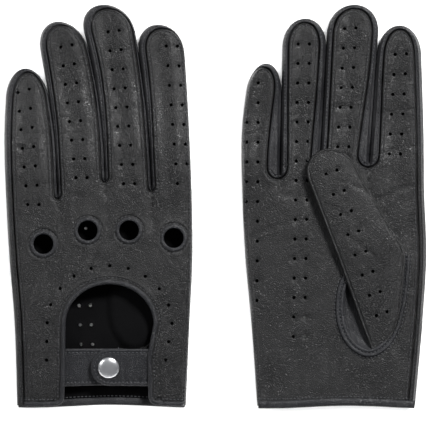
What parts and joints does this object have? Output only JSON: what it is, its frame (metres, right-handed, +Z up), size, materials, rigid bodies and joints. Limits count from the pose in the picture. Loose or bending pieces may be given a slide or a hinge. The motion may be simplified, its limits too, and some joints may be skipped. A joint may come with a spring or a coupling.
{
  "type": "leather driving gloves",
  "caption": "Pair of unlined leather driving gloves with knuckle holes, a keyhole back, a snap wrist strap, perforated fingers and folded thumbs.",
  "frame": {"origin": "bottom centre of the pair's bounding box, on the table they lie on", "axes": "+Z up off the table, +Y from the cuffs to the fingertips, +X from the left glove to the right glove"},
  "size_m": [0.2446, 0.2334, 0.0188],
  "materials": {
    "glove_leather": "smooth black nappa with a fine grain and a soft sheen",
    "fourchette_leather": "black nappa side strips",
    "strap_leather": "folded and stitched black nappa",
    "bound_edge": "rolled and stitched black leather binding",
    "snap_metal": "polished domed press snap"
  },
  "bodies": {
    "left_hand": {"left_hand_back": "glove_leather", "left_hand_palm": "glove_leather", "left_fourchette_little_ring": "fourchette_leather", "left_fourchette_ring_middle": "fourchette_leather", "left_fourchette_middle_index": "fourchette_leather", "left_cuff_binding": "bound_edge", "left_keyhole_binding": "bound_edge", "left_knuckle_rim_little": "bound_edge", "left_knuckle_rim_ring": "bound_edge", "left_knuckle_rim_middle": "bound_edge", "left_knuckle_rim_index": "bound_edge", "left_strap_tab": "strap_leather", "left_snap_stud": "snap_metal", "left_snap_post": "snap_metal"},
    "left_strap": {"left_strap_flap": "strap_leather", "left_snap_cap": "snap_metal", "left_snap_socket": "snap_metal"},
    "left_thumb": {"left_thumb_outer": "glove_leather", "left_thumb_inner": "glove_leather"},
    "left_little": {"left_little_tip_back": "glove_leather", "left_little_tip_palm": "glove_leather"},
    "left_ring": {"left_ring_tip_back": "glove_leather", "left_ring_tip_palm": "glove_leather"},
    "left_middle": {"left_middle_tip_back": "glove_leather", "left_middle_tip_palm": "glove_leather"},
    "left_index": {"left_index_tip_back": "glove_leather", "left_index_tip_palm": "glove_leather"},
    "right_hand": {"right_hand_back": "glove_leather", "right_hand_palm": "glove_leather", "right_fourchette_little_ring": "fourchette_leather", "right_fourchette_ring_middle": "fourchette_leather", "right_fourchette_middle_index": "fourchette_leather", "right_cuff_binding": "bound_edge", "right_keyhole_binding": "bound_edge", "right_knuckle_rim_little": "bound_edge", "right_knuckle_rim_ring": "bound_edge", "right_knuckle_rim_middle": "bound_edge", "right_knuckle_rim_index": "bound_edge", "right_strap_tab": "strap_leather", "right_snap_stud": "snap_metal", "right_snap_post": "snap_metal"},
    "right_strap": {"right_strap_flap": "strap_leather", "right_snap_cap": "snap_metal", "right_snap_socket": "snap_metal"},
    "right_thumb": {"right_thumb_outer": "glove_leather", "right_thumb_inner": "glove_leather"},
    "right_little": {"right_little_tip_back": "glove_leather", "right_little_tip_palm": "glove_leather"},
    "right_ring": {"right_ring_tip_back": "glove_leather", "right_ring_tip_palm": "glove_leather"},
    "right_middle": {"right_middle_tip_back": "glove_leather", "right_middle_tip_palm": "glove_leather"},
    "right_index": {"right_index_tip_back": "glove_leather", "right_index_tip_palm": "glove_leather"}
  },
  "joints": [
    {"name": "right_glove_lift", "type": "slide", "parent": "left_hand", "child": "right_hand", "axis": [0, 0, 1], "range_m": [0, 0.12]},
    {"name": "left_strap_open", "type": "hinge", "parent": "left_hand", "child": "left_strap", "pos_m": [-0.03948, -0.09404, 0.01377], "axis": [0, 0.9795, 0.2013], "range_deg": [0, 140]},
    {"name": "left_thumb_swing", "type": "hinge", "parent": "left_hand", "child": "left_thumb", "pos_m": [-0.04454, -0.05974, 0], "axis": [0, 0, -1], "range_deg": [0, 50]},
    {"name": "left_little_fold", "type": "hinge", "parent": "left_hand", "child": "left_little", "pos_m": [-0.10859, 0.04526, 0.01524], "axis": [0.9981, 0.0616, 0], "range_deg": [0, 60]},
    {"name": "left_ring_fold", "type": "hinge", "parent": "left_hand", "child": "left_ring", "pos_m": [-0.08148, 0.05326, 0.01309], "axis": [0.9874, 0.158, 0], "range_deg": [0, 60]},
    {"name": "left_middle_fold", "type": "hinge", "parent": "left_hand", "child": "left_middle", "pos_m": [-0.05442, 0.05726, 0.01217], "axis": [0.9897, 0.1435, 0], "range_deg": [0, 60]},
    {"name": "left_index_fold", "type": "hinge", "parent": "left_hand", "child": "left_index", "pos_m": [-0.02768, 0.05226, 0.01332], "axis": [0.9962, 0.087, 0], "range_deg": [0, 60]},
    {"name": "right_strap_open", "type": "hinge", "parent": "right_hand", "child": "right_strap", "pos_m": [0.09682, -0.09404, 0.0023], "axis": [0, -1, 0], "range_deg": [0, 140]},
    {"name": "right_thumb_swing", "type": "hinge", "parent": "right_hand", "child": "right_thumb", "pos_m": [0.09176, -0.05974, 0.0113], "axis": [0, 0, -1], "range_deg": [0, 50]},
    {"name": "right_little_fold", "type": "hinge", "parent": "right_hand", "child": "right_little", "pos_m": [0.02648, 0.04526, 0.00881], "axis": [0.9993, -0.0375, 0], "range_deg": [0, 75]},
    {"name": "right_ring_fold", "type": "hinge", "parent": "right_hand", "child": "right_ring", "pos_m": [0.05019, 0.05326, 0.0085], "axis": [0.9994, -0.0347, 0], "range_deg": [0, 75]},
    {"name": "right_middle_fold", "type": "hinge", "parent": "right_hand", "child": "right_middle", "pos_m": [0.07713, 0.05726, 0.0085], "axis": [0.9981, -0.0624, 0], "range_deg": [0, 75]},
    {"name": "right_index_fold", "type": "hinge", "parent": "right_hand", "child": "right_index", "pos_m": [0.10649, 0.05226, 0.0085], "axis": [0.9998, -0.0223, 0], "range_deg": [0, 75]}
  ]
}
